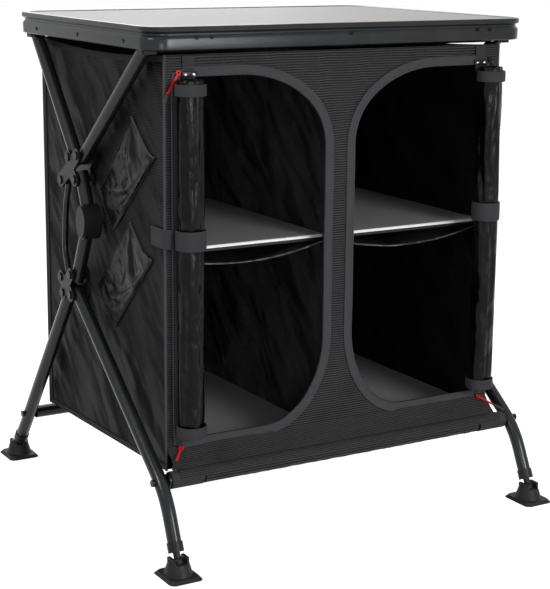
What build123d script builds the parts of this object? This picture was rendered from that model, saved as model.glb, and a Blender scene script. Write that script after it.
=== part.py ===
# Camping kitchen cupboard: a top on two folding side frames, with a cloth cabinet hung between them.
# Millimetres, +Z up, X along the width, front at -Y, origin on the ground under the middle of the cupboard.
import os
from math import atan2, cos, degrees, radians, sin

from build123d import *

os.makedirs("parts", exist_ok=True)

# top
top_width = 697.0
top_depth = 522.0
top_height = 820.0

# the depth and height on which the places of the side frame and the cloth were measured
drawn_depth = 522.0
drawn_height = 820.0


def measured(y, z):
    """A measured place as Y and Z, which moves along with the top's depth and height."""
    return (y * top_depth / drawn_depth, z * top_height / drawn_height)


def measured_z(z):
    """A measured height, which moves along with the top's height."""
    return z * top_height / drawn_height


# rim and panel of the top
rim_height = 35.0
rim_wall = 3.0
rim_corner = 36.0
lip_height = 8.0
waist_inset = 4.0
band_inset = 1.5
ledge_width = 14.0
ledge_thickness = 3.0
panel_thickness = 6.0
panel_recess = 1.5
panel_gap = 0.5
screw_radius = 3.0
screw_head = 1.2
screw_rise_x = 18.0
screw_rise_y = 10.0
screw_end_x = (103.5, 78.5)
screw_end_y = 91.0

# tubes of the side frames
tube_radius = 11.0
tube_wall = 1.5
side_inset = 20.5
side_x_top = top_width / 2 - side_inset
side_lean = 0.0155
slip = 0.3
pin_radius = 4.0
pin_clearance = 0.05
tube_tail = 12.0
bar_end = 6.0
bolt_radius = 3.0
bolt_head_radius = 5.5
bolt_head = 4.0

# side frame, each place as Y and Z
top_bar_drop = 30.0
rear_top_inset = 41.0
front_top_inset = 49.0
rear_top = (top_depth / 2 - rear_top_inset, top_height - top_bar_drop)
front_top = (-top_depth / 2 + front_top_inset, top_height - top_bar_drop)
rear_pivot = measured(50.0, 594.0)
front_pivot = measured(16.0, 600.0)
rear_leg_pivot = measured(76.0, 362.0)
front_leg_pivot = measured(44.0, 364.0)
foot_reach = 66.0
ball_z = 22.0
rear_ball = (top_depth / 2 + foot_reach, ball_z)
front_ball = (-top_depth / 2 - foot_reach, ball_z)
front_leg_bend = measured(-283.0, 118.0)
front_bend_radius = 150.0
rear_leg_bend = measured(284.0, 78.0)
rear_bend_radius = 120.0
front_bar_z = measured_z(131.0)
rear_bar_z = measured_z(96.0)

# hub plates, knee and bowed link
plate_thickness = 3.5
plate_gap = 1.4
lobe_radius = 12.0
hub_swell = 4.0
knee_top = measured(26.0, 560.0)
knee = measured(-2.0, 494.0)
knee_bottom = measured(44.0, 398.0)
knee_half_width = 20.0
knee_half_height = 29.0
knee_half_thickness = 14.0
knee_cover = 3.0
button_radius = 7.0
button_travel = 3.0
button_height = 4.0
link_top = measured(82.0, 552.0)
link_bottom = measured(82.0, 388.0)
link_bow = 16.0
link_radius = 5.0
link_bend = 60.0
link_shoulder = 46.0
pin_head_radius = 7.0
pin_head = 2.5

# feet
ball_radius = 9.0
neck_radius = 5.5
ferrule_radius = 12.5
ferrule_length = 16.0
pad_length = 68.0
pad_width = 56.0
pad_thickness = 5.0
socket_radius = 15.0
socket_height = 27.0
ear_height = 31.0
ear_thickness = 5.0

# cloth cabinet
cloth = 1.6
cabinet_inset_x = 18.5
cabinet_inset_y = 29.0
cabinet_half_width = side_x_top - cabinet_inset_x
cabinet_half_depth = top_depth / 2 - cabinet_inset_y
cloth_drop = 43.0
cloth_top = top_height - cloth_drop
side_top_sag = 9.0
cloth_bottom = measured_z(144.0)
side_rear_bottom = measured(237.0, 122.0)
side_front_bottom = measured(-231.0, 134.0)
apron_rise = 24.0
apron_top = cloth_bottom + apron_rise
apron_gap = 1.9
hem_gap = 0.3
floor_z = measured_z(136.0)
shelf_z = measured_z(478.0)
board_thickness = 9.0
board_inset = 32.0
board_half_depth = cabinet_half_depth - board_inset
divider_fold = 3.5
divider_folds = 6
opening_inner = 27.0
opening_border = (23.5, 32.0, 37.0)
opening_outer = cabinet_half_width - opening_border[0]
opening_top = cloth_top - opening_border[1]
opening_bottom = cloth_bottom + opening_border[2]
opening_upper_corner = (155.0, 115.0)
opening_lower_corner = (105.0, 140.0)
sling_sag = 22.0
roll_radius = 21.0
roll_inset = 30.5
roll_ends = (3.0, 12.0)
roll_x = cabinet_half_width - roll_inset
roll_top = opening_top - roll_ends[0]
roll_bottom = opening_bottom + roll_ends[1]
roll_folds = 5
strap_thickness = 1.6
strap_seat = 0.8
strap_offsets = (15.0, 24.0, 9.0)
strap_places = (
    (roll_top - strap_offsets[0], 17.0),
    (shelf_z + strap_offsets[1], 30.0),
    (roll_bottom + strap_offsets[2], 17.0),
)
sleeve_gap = 0.4
loop_length = 54.0
loop_gap = 4.0

# pockets on the left side: each corner as Y and Z, the mouth is from the first to the second
pocket_places = {
    "upper": (
        measured(-123.0, 676.0), measured(-203.0, 622.0), measured(-52.0, 486.0), measured(-4.0, 545.0),
    ),
    "lower": (
        measured(-114.0, 508.0), measured(-190.0, 460.0), measured(-52.0, 326.0), measured(12.0, 384.0),
    ),
}
pocket_mouth = 24.0
pocket_foot = 2.6
pocket_wall = 1.0

# zips
slider_outset = 4.0
slider_x = opening_outer + slider_outset
slider_size = (9.0, 3.0, 8.0)
slider_rise = 6.0
pull_ring = 4.0
pull_hole = 1.8
pull_cord = (3.0, 34.0)
pull_sleeve = (6.0, 17.0)
pull_thickness = 2.0
pull_forward = 3.4
pull_drop = 5.5
pull_reach = (-9.0, 3.1)
pull_tilt_top = 30.0
pull_tilt_bottom = 38.0

sides = {"left": -1, "right": 1}


def side_x(z):
    """Distance of a side frame's middle plane from the cupboard's middle at the height z."""
    return side_x_top + (top_height - rim_height - z) * side_lean


def save(part, name):
    part.label = name
    export_step(part, f"parts/{name}.step")


def in_frame(sign, place):
    return Vector(sign * side_x(place[1]), place[0], place[1])


def past(start, end, length):
    """The point that lies length before start on the line from start to end."""
    a, b = Vector(0, *start), Vector(0, *end)
    point = a - (b - a).normalized() * length
    return (point.Y, point.Z)


def along_x(place, x):
    """A plane that looks along +X, with its middle at a side frame's place."""
    return Plane(origin=(x, place[0], place[1]), x_dir=(0, 1, 0), z_dir=(1, 0, 0))


def tube(points, radius, wall, bend=None):
    """A round tube along points, hollow where it has a wall."""
    with BuildPart() as made:
        with BuildLine() as route:
            if bend is None:
                Polyline(*points)
            else:
                FilletPolyline(*points, radius=bend)
        with BuildSketch(Plane(route.edges()[0] @ 0, z_dir=route.edges()[0] % 0)):
            Circle(radius)
            if wall:
                Circle(radius - wall, mode=Mode.SUBTRACT)
        sweep(path=route.line)
    return made.part


def pin_hole(part, place, sign, radius, reach=40.0):
    """The part with a hole along X through a side frame's place."""
    with BuildPart() as drilled:
        add(part)
        with BuildSketch(along_x(place, sign * side_x(place[1]) - reach / 2)):
            Circle(radius)
        extrude(amount=reach, mode=Mode.SUBTRACT)
    return drilled.part


# the top: an aluminium rim and the panel on its ledge
rim_bottom = top_height - rim_height
panel_top = top_height - panel_recess
ledge_top = panel_top - panel_thickness
ledge_bottom = ledge_top - ledge_thickness

with BuildPart() as top_rim:
    layers = (
        (rim_bottom, rim_height - lip_height - 5.0, band_inset),
        (top_height - lip_height - 5.0, 5.0, waist_inset),
        (top_height - lip_height, lip_height, 0.0),
    )
    for z, height, inset in layers:
        with BuildSketch(Plane.XY.offset(z)):
            RectangleRounded(top_width - 2 * inset, top_depth - 2 * inset, rim_corner - inset)
        extrude(amount=height)
    hollow = waist_inset + rim_wall
    with BuildSketch(Plane.XY.offset(rim_bottom)):
        RectangleRounded(top_width - 2 * hollow, top_depth - 2 * hollow, rim_corner - hollow)
    extrude(amount=rim_height, mode=Mode.SUBTRACT)
    with BuildSketch(Plane.XY.offset(ledge_bottom)):
        RectangleRounded(top_width - 2 * hollow, top_depth - 2 * hollow, rim_corner - hollow)
        inner = hollow + ledge_width
        RectangleRounded(
            top_width - 2 * inner, top_depth - 2 * inner, rim_corner - inner, mode=Mode.SUBTRACT
        )
    extrude(amount=ledge_thickness)
save(top_rim.part, "top_rim")

with BuildPart() as top_panel:
    inset = hollow + panel_gap
    with BuildSketch(Plane.XY.offset(ledge_top)):
        RectangleRounded(top_width - 2 * inset, top_depth - 2 * inset, rim_corner - inset)
    extrude(amount=panel_thickness)
    chamfer(top_panel.edges().group_by(Axis.Z)[-1], length=0.6)
save(top_panel.part, "top_panel")

with BuildPart() as rim_screws:
    face_y = top_depth / 2 - band_inset
    face_x = top_width / 2 - band_inset
    screw_xs = [0.0] + [way * (top_width / 2 - end) for way in (-1, 1) for end in screw_end_x]
    screw_y = top_depth / 2 - screw_end_y
    for sign in sides.values():
        with BuildSketch(Plane.XZ.offset(-sign * face_y)):
            with Locations(*[(x, rim_bottom + screw_rise_x) for x in screw_xs]):
                Circle(screw_radius)
        extrude(amount=-sign * screw_head)
        with BuildSketch(Plane.YZ.offset(sign * face_x)):
            with Locations(*[(y, rim_bottom + screw_rise_y) for y in (-screw_y, 0.0, screw_y)]):
                Circle(screw_radius)
        extrude(amount=sign * screw_head)
save(rim_screws.part, "rim_screws")

# bars between the side frames
front_slope = (front_leg_pivot[1] - front_leg_bend[1]) / (front_leg_pivot[0] - front_leg_bend[0])
rear_slope = (rear_leg_pivot[1] - rear_leg_bend[1]) / (rear_leg_pivot[0] - rear_leg_bend[0])
front_bar = (front_leg_pivot[0] - (front_leg_pivot[1] - front_bar_z) / front_slope, front_bar_z)
rear_bar = (rear_leg_pivot[0] - (rear_leg_pivot[1] - rear_bar_z) / rear_slope, rear_bar_z)
bar_places = {
    "rear_top_bar": rear_top,
    "front_top_bar": front_top,
    "rear_bottom_bar": rear_bar,
    "front_bottom_bar": front_bar,
}
bar_halves = {}
for name, bar_place in bar_places.items():
    half = side_x(bar_place[1]) - tube_radius - slip
    bar_halves[name] = half
    with BuildPart() as bar:
        with BuildSketch(along_x(bar_place, -half)):
            Circle(tube_radius)
        extrude(amount=2 * half)
        with BuildSketch(along_x(bar_place, -half + bar_end)):
            Circle(tube_radius - tube_wall)
        extrude(amount=2 * (half - bar_end), mode=Mode.SUBTRACT)
        if name.endswith("bottom_bar"):
            with BuildSketch(along_x(bar_place, -half)):
                Circle(bolt_radius)
            extrude(amount=2 * half, mode=Mode.SUBTRACT)
    save(bar.part, name)

# tubes of the side frames, each on its own pivot
tube_routes = {
    "upper_rear_tube": (rear_pivot, [rear_top], None),
    "upper_front_tube": (front_pivot, [front_top], None),
    "rear_leg": (rear_leg_pivot, [rear_leg_bend, rear_ball], rear_bend_radius),
    "front_leg": (front_leg_pivot, [front_leg_bend, front_ball], front_bend_radius),
}
bolt_places = {"front_leg": front_bar, "rear_leg": rear_bar}
foot_end = ball_radius + neck_radius + 4.0
envelopes = {}
for side, sign in sides.items():
    for name, (pivot, places, bend) in tube_routes.items():
        tail = past(pivot, places[0], tube_tail)
        stops = [tail, *places]
        if bend:
            stops[-1] = past(places[-1], places[-2], -foot_end)
        points = [in_frame(sign, place) for place in stops]
        made = tube(points, tube_radius, tube_wall, bend)
        envelopes[name, side] = tube(points, tube_radius, 0.0, bend)
        made = pin_hole(made, pivot, sign, pin_radius + pin_clearance)
        if name in bolt_places:
            made = pin_hole(made, bolt_places[name], sign, bolt_radius)
        save(made, f"{name}_{side}")

# corner fittings that carry the top on the upper tubes
fitting_half = 13.0
fitting_low = 12.0
for ends, place, bar, carrier in (
    ("rear", rear_top, "rear_top_bar", "upper_rear_tube"),
    ("front", front_top, "front_top_bar", "upper_front_tube"),
):
    with BuildPart() as fittings:
        for side, sign in sides.items():
            height = ledge_bottom - slip - place[1] + fitting_low
            middle = (sign * side_x(place[1]), place[0], place[1] - fitting_low)
            with BuildSketch(Plane(middle)):
                RectangleRounded(2 * fitting_half, 2 * fitting_half, 5.0)
            extrude(amount=height)
        for side in sides:
            add(envelopes[carrier, side], mode=Mode.SUBTRACT)
        with BuildSketch(Plane(origin=(-bar_halves[bar], *place), x_dir=(0, 1, 0), z_dir=(1, 0, 0))):
            Circle(tube_radius)
        extrude(amount=2 * bar_halves[bar], mode=Mode.SUBTRACT)
    save(fittings.part, f"{ends}_top_fittings")


def hub_plates(places, radius):
    """For each side frame, a star-shaped plate on both sides of its tubes, with an arm to each place."""
    middle = Vector(*[sum(values) / len(places) for values in zip(*places)])
    with BuildPart() as plates:
        for sign in sides.values():
            for way in (-1, 1):
                start = sign * side_x(places[0][1]) + way * (tube_radius + plate_gap)
                with BuildSketch(along_x((0.0, 0.0), start)):
                    with Locations(middle):
                        Circle(radius + hub_swell)
                    for place in places:
                        arm = Vector(*place) - middle
                        turn = degrees(atan2(arm.Y, arm.X))
                        with Locations(middle + arm / 2):
                            Rectangle(arm.length, 2 * radius, rotation=turn)
                        with Locations(place):
                            Circle(radius)
                    with Locations(*places):
                        Circle(pin_radius + pin_clearance, mode=Mode.SUBTRACT)
                extrude(amount=way * plate_thickness)
    return plates.part


pin_reach = tube_radius + plate_gap + plate_thickness
upper_places = [rear_pivot, front_pivot, knee_top, link_top]
lower_places = [rear_leg_pivot, front_leg_pivot, knee_bottom, link_bottom]
save(hub_plates(upper_places, lobe_radius), "upper_hub_plates")
save(hub_plates(lower_places, lobe_radius), "lower_hub_plates")
for side, sign in sides.items():
    for name, start in (("knee_upper", knee_top), ("knee_lower", knee_bottom)):
        stops = [past(start, knee, tube_tail), knee]
        middle = [Vector(sign * side_x(start[1]), *stops[0]), Vector(sign * side_x(start[1]), *stops[1])]
        made = tube(middle, tube_radius, tube_wall)
        made = pin_hole(made, start, sign, pin_radius)
        with BuildPart() as cut:
            add(made)
            with BuildSketch(along_x(knee, sign * side_x(knee[1]) - 2 * knee_half_thickness)):
                Ellipse(knee_half_width, knee_half_height)
            extrude(amount=4 * knee_half_thickness, mode=Mode.SUBTRACT)
        save(cut.part, f"{name}_{side}")

    # the knee: an oval housing with a raised cover outside and a button in it
    with BuildPart() as knee_joint:
        inside = sign * (side_x(knee[1]) - knee_half_thickness)
        outside = sign * (side_x(knee[1]) + knee_half_thickness)
        with BuildSketch(along_x(knee, inside)):
            Ellipse(knee_half_width - slip, knee_half_height - slip)
        extrude(amount=sign * 2 * knee_half_thickness)
        with BuildSketch(along_x(knee, outside)):
            Ellipse(knee_half_width - 3.0, knee_half_height - 3.0)
        extrude(amount=sign * knee_cover)
        with BuildSketch(along_x(knee, outside - sign * button_height)):
            Circle(button_radius + slip)
        extrude(amount=sign * (button_height + knee_cover), mode=Mode.SUBTRACT)
    save(knee_joint.part, f"knee_joint_{side}")

    with BuildPart() as lock_button:
        start = outside - sign * (button_height - button_travel - 0.5)
        with BuildSketch(along_x(knee, start)):
            Circle(button_radius)
        extrude(amount=sign * (knee_cover + button_height - button_travel - 0.5))
    save(lock_button.part, f"lock_button_{side}")

# a thin bowed link behind each knee, with a flat eye at both ends
bow_y = link_top[0] + link_bow
with BuildPart() as link_rods:
    for sign in sides.values():
        eyes = ((link_top, sign * side_x(rear_pivot[1])), (link_bottom, sign * side_x(rear_leg_pivot[1])))
        stops = [
            Vector(eyes[0][1], *link_top),
            Vector(eyes[0][1], bow_y, link_top[1] - link_shoulder),
            Vector(eyes[1][1], bow_y, link_bottom[1] + link_shoulder),
            Vector(eyes[1][1], *link_bottom),
        ]
        add(tube(stops, link_radius, 0.0, link_bend))
        for place, middle in eyes:
            with BuildSketch(along_x(place, middle - tube_radius)):
                Circle(pin_head_radius + 1.0)
            extrude(amount=2 * tube_radius)
        for place, middle in eyes:
            with BuildSketch(along_x(place, middle - 2 * tube_radius)):
                Circle(pin_radius)
            extrude(amount=4 * tube_radius, mode=Mode.SUBTRACT)
save(link_rods.part, "link_rods")

with BuildPart() as hub_pins:
    for side, sign in sides.items():
        for places in (upper_places, lower_places):
            middle = sign * side_x(places[0][1])
            for place in places:
                with BuildSketch(along_x(place, middle - pin_reach)):
                    Circle(pin_radius)
                extrude(amount=2 * pin_reach)
                for way in (-1, 1):
                    with BuildSketch(along_x(place, middle + way * pin_reach)):
                        Circle(pin_head_radius)
                    extrude(amount=way * pin_head)
save(hub_pins.part, "hub_pins")

# bolts that hold the bottom bars to the legs
for legs, place in (("front", front_bar), ("rear", rear_bar)):
    with BuildPart() as bar_bolts:
        for sign in sides.values():
            face = side_x(place[1]) + tube_radius + slip
            shank_end = side_x(place[1]) - tube_radius - slip - bar_end
            with BuildSketch(along_x(place, sign * face)):
                Circle(bolt_head_radius)
            extrude(amount=sign * bolt_head)
            with BuildSketch(along_x(place, sign * shank_end)):
                Circle(bolt_radius)
            extrude(amount=sign * (face - shank_end))
    save(bar_bolts.part, f"{legs}_bar_bolts")

# feet: a ferrule, neck and ball on each leg, and a tilting pad under it
for legs, ball, bend in (("front", front_ball, front_leg_bend), ("rear", rear_ball, rear_leg_bend)):
    with BuildPart() as stems:
        for sign in sides.values():
            middle = in_frame(sign, ball)
            up = (in_frame(sign, bend) - middle).normalized()
            end = middle + up * foot_end
            with BuildSketch(Plane(middle, z_dir=up)):
                Circle(neck_radius)
            extrude(amount=foot_end)
            with BuildSketch(Plane(end - up * 3.0, z_dir=up)):
                Circle(ferrule_radius)
            extrude(amount=ferrule_length)
            with BuildSketch(Plane(end, z_dir=up)):
                Circle(tube_radius)
            extrude(amount=ferrule_length, mode=Mode.SUBTRACT)
            with Locations(middle):
                Sphere(ball_radius)
    save(stems.part, f"foot_stems_{legs}")

    for side, sign in sides.items():
        middle = in_frame(sign, ball)
        with BuildPart() as pad:
            base = Plane((middle.X, middle.Y, 0))
            with BuildSketch(base):
                RectangleRounded(pad_width, pad_length, 10.0)
            with BuildSketch(base.offset(pad_thickness)):
                RectangleRounded(pad_width - 8.0, pad_length - 10.0, 9.0)
            loft()
            with BuildSketch(base.offset(pad_thickness)):
                Ellipse(socket_radius + 7.0, socket_radius + 9.0)
            with BuildSketch(base.offset(socket_height)):
                Ellipse(socket_radius + 1.0, socket_radius - 1.0)
            loft()
            with BuildSketch(Plane((middle.X, middle.Y, middle.Z))):
                Rectangle(2 * (ball_radius + slip), 4 * socket_radius)
            extrude(amount=socket_height, mode=Mode.SUBTRACT)
            for way in (-1, 1):
                ear = way * (ball_radius + slip + ear_thickness / 2)
                with BuildSketch(base.offset(pad_thickness)):
                    with Locations((ear, 0)):
                        Rectangle(ear_thickness, 2 * ball_radius)
                extrude(amount=ear_height - pad_thickness)
            with Locations(middle):
                Sphere(ball_radius + slip, mode=Mode.SUBTRACT)
        save(pad.part, f"foot_pad_{legs}_{side}")

# side, back and front panels of the cloth cabinet
half_depth = cabinet_half_depth - hem_gap
for side, sign in sides.items():
    with BuildPart() as side_panel:
        with BuildSketch(Plane.YZ.offset(sign * cabinet_half_width)):
            with BuildLine():
                top_curve = ThreePointArc(
                    (-half_depth, cloth_top), (0, cloth_top - side_top_sag), (half_depth, cloth_top)
                )
                Polyline(top_curve @ 1, side_rear_bottom, side_front_bottom, top_curve @ 0)
            make_face()
        extrude(amount=sign * cloth)
    save(side_panel.part, f"side_panel_{side}")

front_face = Plane(origin=(0, -cabinet_half_depth, 0), x_dir=(1, 0, 0), z_dir=(0, -1, 0))
apron_end = (front_bar[0] - slip, front_bar[1] + tube_radius + sleeve_gap + cloth + apron_gap)
cloth_height = cloth_top - cloth_bottom
middle_z = (cloth_top + cloth_bottom) / 2
with BuildPart() as back_panel:
    with BuildSketch(front_face.offset(-2 * cabinet_half_depth)):
        with Locations((0, middle_z)):
            Rectangle(2 * cabinet_half_width, cloth_height)
    extrude(amount=-cloth)
save(back_panel.part, "back_panel")

with BuildPart() as front_panel:
    with BuildSketch(Plane.YZ.offset(-cabinet_half_width)):
        with BuildLine():
            Polyline(
                (-cabinet_half_depth, cloth_top),
                (-cabinet_half_depth - cloth, cloth_top),
                (-cabinet_half_depth - cloth, apron_top),
                apron_end,
                (apron_end[0] + cloth, apron_end[1] - cloth),
                (-cabinet_half_depth, apron_top - cloth),
                close=True,
            )
        make_face()
    extrude(amount=2 * cabinet_half_width)
    upper_x, upper_z = opening_upper_corner
    lower_x, lower_z = opening_lower_corner
    with BuildSketch(front_face):
        with BuildLine():
            EllipticalCenterArc(
                (opening_inner + upper_x, opening_top - upper_z), upper_x, upper_z, 90.0, arc_size=90.0
            )
            EllipticalCenterArc(
                (opening_inner + lower_x, opening_bottom + lower_z), lower_x, lower_z, 180.0, arc_size=90.0
            )
            Line((opening_inner, opening_top - upper_z), (opening_inner, opening_bottom + lower_z))
            Polyline(
                (opening_inner + upper_x, opening_top),
                (opening_outer, opening_top),
                (opening_outer, opening_bottom),
                (opening_inner + lower_x, opening_bottom),
            )
        make_face()
        mirror(about=Plane.YZ)
    extrude(amount=cloth, mode=Mode.SUBTRACT)
save(front_panel.part, "front_panel")

# the divider hangs in shallow upright folds
with BuildPart() as divider_panel:
    step = 2 * half_depth / divider_folds
    faces = (-cloth / 2, cloth / 2)
    with BuildSketch(Plane.XY.offset(cloth_bottom)):
        with BuildLine():
            for x in faces:
                for i in range(divider_folds):
                    start = -half_depth + i * step
                    bulge = x + divider_fold * (1 if i % 2 else -1)
                    ThreePointArc((x, start), (bulge, start + step / 2), (x, start + step))
            for y in (-half_depth, half_depth):
                Line((faces[0], y), (faces[1], y))
        make_face()
    extrude(amount=cloth_top - side_top_sag - cloth_bottom)
save(divider_panel.part, "divider_panel")

# boards lie on the floor cloth and in the shelf slings
board_inner = divider_fold + cloth + 1.0
board_outer = cabinet_half_width - 2.0
for side, sign in sides.items():
    middle = sign * (board_inner + board_outer) / 2
    for name, z in (("shelf_board", shelf_z), ("floor_board", floor_z + cloth + slip + board_thickness)):
        with BuildPart() as board:
            with BuildSketch(Plane((middle, 0, z - board_thickness))):
                RectangleRounded(board_outer - board_inner, 2 * board_half_depth, 6.0)
            extrude(amount=board_thickness)
            chamfer(board.edges().group_by(Axis.Z)[-1], length=1.0)
        save(board.part, f"{name}_{side}")

cloth_inner = divider_fold + cloth / 2 + slip
cloth_outer = cabinet_half_width - slip
with BuildPart() as floor_cloth:
    for sign in sides.values():
        middle = sign * (cloth_inner + cloth_outer) / 2
        with BuildSketch(Plane((middle, 0, floor_z))):
            Rectangle(cloth_outer - cloth_inner, 2 * half_depth)
        extrude(amount=cloth)
save(floor_cloth.part, "floor_cloth")

with BuildPart() as shelf_sling:
    sling_top = shelf_z - board_thickness - slip
    for sign in sides.values():
        with BuildSketch(front_face.offset(-cabinet_half_depth - board_half_depth)):
            with BuildLine():
                upper = ThreePointArc(
                    (sign * cloth_inner, sling_top),
                    (sign * (cloth_inner + cloth_outer) / 2, sling_top - sling_sag),
                    (sign * cloth_outer, sling_top),
                )
                lower = ThreePointArc(
                    (sign * cloth_inner, sling_top - cloth),
                    (sign * (cloth_inner + cloth_outer) / 2, sling_top - sling_sag - cloth),
                    (sign * cloth_outer, sling_top - cloth),
                )
                Line(upper @ 0, lower @ 0)
                Line(upper @ 1, lower @ 1)
            make_face()
        extrude(amount=2 * board_half_depth)
save(shelf_sling.part, "shelf_sling")

# cloth sleeve and end loops round the front bottom bar
with BuildPart() as bar_sleeves:
    bore = tube_radius + sleeve_gap
    loop_end = bar_halves["front_bottom_bar"] - 4.0
    sleeve_end = loop_end - loop_length - loop_gap
    stretches = (
        (-sleeve_end, sleeve_end),
        (-loop_end, -loop_end + loop_length),
        (loop_end - loop_length, loop_end),
    )
    for start, end in stretches:
        with BuildSketch(along_x(front_bar, start)):
            Circle(bore + cloth)
            Circle(bore, mode=Mode.SUBTRACT)
        extrude(amount=end - start)
save(bar_sleeves.part, "bar_sleeves")

# rolled doors: a roll with soft bulges between its straps
roll_y = -cabinet_half_depth - cloth - roll_radius - slip - strap_thickness + strap_seat
for side, sign in sides.items():
    with BuildPart() as door_roll:
        roll_height = roll_top - roll_bottom
        for i in range(roll_folds + 1):
            swell = 0.0 if i % 2 == 0 else 1.5
            with BuildSketch(Plane((sign * roll_x, roll_y, roll_bottom + roll_height * i / roll_folds))):
                Ellipse(roll_radius - 1.5 + swell, roll_radius - 2.5 + swell)
        loft()
    save(door_roll.part, f"door_roll_{side}")

with BuildPart() as roll_straps:
    for sign in sides.values():
        for z, width in strap_places:
            with BuildSketch(Plane((sign * roll_x, roll_y, z - width / 2))):
                Circle(roll_radius + slip + strap_thickness)
                Circle(roll_radius + slip, mode=Mode.SUBTRACT)
            extrude(amount=width)
save(roll_straps.part, "roll_straps")


def pocket(places):
    """A flat bag against the left side panel, deep at its mouth and thin at its foot."""
    mouth_a, mouth_b, foot_b, foot_a = [Vector(0, *place) for place in places]
    back_x = -cabinet_half_width - cloth - slip
    down = ((foot_a + foot_b) / 2 - (mouth_a + mouth_b) / 2).normalized()
    across = Vector(1, 0, 0)
    with BuildPart() as bag:
        for a, b, depth in ((mouth_a, mouth_b, pocket_mouth), (foot_a, foot_b, pocket_foot)):
            middle = (a + b) / 2 + Vector(back_x - depth / 2, 0, 0)
            with BuildSketch(Plane(origin=middle, x_dir=across, z_dir=down)):
                Rectangle(depth, (b - a).length)
        loft()
        mouth = bag.faces().sort_by(Axis((0, 0, 0), tuple(down)))[0]
        offset(amount=-pocket_wall, openings=mouth)
    return bag.part


for name, places in pocket_places.items():
    save(pocket(places), f"pocket_{name}")

# zip sliders and their pulls at the ends of each door's zip, the lower pulls lie on the apron
slider_y = -cabinet_half_depth - cloth - slip
pull_y = slider_y - slider_size[1] - slip
slider_heights = {"top": opening_top + slider_rise, "bottom": opening_bottom - slider_rise}
with BuildPart() as zip_sliders:
    for z in slider_heights.values():
        for sign in sides.values():
            centre = (sign * slider_x, slider_y - slider_size[1] / 2, z - slider_size[2] / 2)
            with BuildSketch(Plane(centre)):
                RectangleRounded(slider_size[0], slider_size[1], 1.2)
            extrude(amount=slider_size[2])
save(zip_sliders.part, "zip_sliders")

low_pull = (pull_y - pull_forward, slider_heights["bottom"] - pull_drop)
pull_end = (apron_end[0] + pull_reach[0], apron_end[1] + pull_reach[1])
over_apron = Vector(0, pull_end[0] - low_pull[0], pull_end[1] - low_pull[1]).normalized()
pull_ways = {
    "top": (pull_y, slider_heights["top"], Vector(0, 0, -1), pull_tilt_top),
    "bottom": (*low_pull, over_apron, pull_tilt_bottom),
}
for level, (y, z, down, tilt) in pull_ways.items():
    for side, sign in sides.items():
        normal = Vector(1, 0, 0).cross(-down)
        along = down * cos(radians(tilt)) + Vector(sign, 0, 0) * sin(radians(tilt))
        face = Plane(origin=(sign * slider_x, y, z), x_dir=normal.cross(along), z_dir=normal)
        with BuildPart() as pull:
            with BuildSketch(face):
                Circle(pull_ring)
                with Locations((0, -pull_cord[1] / 2)):
                    Rectangle(*pull_cord)
                with Locations((0, -pull_cord[1] - pull_sleeve[1] / 2 + 1.0)):
                    RectangleRounded(*pull_sleeve, 2.5)
                Circle(pull_hole, mode=Mode.SUBTRACT)
            extrude(amount=pull_thickness)
        save(pull.part, f"zip_pull_{level}_{side}")
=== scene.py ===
from math import cos, exp, hypot, pi, radians, sin, tanh

import bpy
from mathutils import Matrix, Vector, noise


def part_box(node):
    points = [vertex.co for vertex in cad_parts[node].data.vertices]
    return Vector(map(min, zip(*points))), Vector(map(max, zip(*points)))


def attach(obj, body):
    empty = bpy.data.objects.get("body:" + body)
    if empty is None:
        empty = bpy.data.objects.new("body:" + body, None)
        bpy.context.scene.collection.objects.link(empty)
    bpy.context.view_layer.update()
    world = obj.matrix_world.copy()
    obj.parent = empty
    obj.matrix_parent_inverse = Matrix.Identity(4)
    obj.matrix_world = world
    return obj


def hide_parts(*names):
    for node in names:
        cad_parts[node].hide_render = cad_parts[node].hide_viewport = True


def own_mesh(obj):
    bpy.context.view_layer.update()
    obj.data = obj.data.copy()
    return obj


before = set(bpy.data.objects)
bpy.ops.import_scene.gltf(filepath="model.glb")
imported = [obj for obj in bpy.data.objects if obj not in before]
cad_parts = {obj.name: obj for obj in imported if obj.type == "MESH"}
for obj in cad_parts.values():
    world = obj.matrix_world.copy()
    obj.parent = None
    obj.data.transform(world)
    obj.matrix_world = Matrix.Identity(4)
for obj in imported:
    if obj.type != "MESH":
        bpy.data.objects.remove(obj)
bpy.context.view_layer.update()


# small helpers

def deselectAll():
    if bpy.context.object and bpy.context.object.mode != "OBJECT":
        bpy.ops.object.mode_set(mode="OBJECT")
    bpy.ops.object.select_all(action="DESELECT")


def makeActive(piece):
    deselectAll()
    piece.select_set(True)
    bpy.context.view_layer.objects.active = piece


def editWhole(piece):
    # edit mode, with all of the piece selected
    makeActive(piece)
    bpy.ops.object.mode_set(mode="EDIT")
    bpy.ops.mesh.select_all(action="SELECT")


def leaveEdit():
    bpy.ops.object.mode_set(mode="OBJECT")


def addObject(name, data):
    made = bpy.data.objects.new(name, data)
    bpy.context.scene.collection.objects.link(made)
    return made


def meshPiece(name, points, faces):
    mesh = bpy.data.meshes.new(name)
    mesh.from_pydata([tuple(p) for p in points], [], faces)
    mesh.update()
    return addObject(name, mesh)


def gridFaces(rows, columns, closed=False):
    # faces over points listed row by row, closed joins the last column to the first
    faces = []
    for j in range(rows - 1):
        for i in range(columns if closed else columns - 1):
            k = (i + 1) % columns
            faces.append((j * columns + i, j * columns + k, (j + 1) * columns + k, (j + 1) * columns + i))
    return faces


def bandFaces(count, across):
    # faces of a closed band whose points are listed one cross-section after the other
    faces = []
    for i in range(count):
        n = (i + 1) % count
        for k in range(across - 1):
            faces.append((across * i + k, across * n + k, across * n + k + 1, across * i + k + 1))
    return faces


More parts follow.
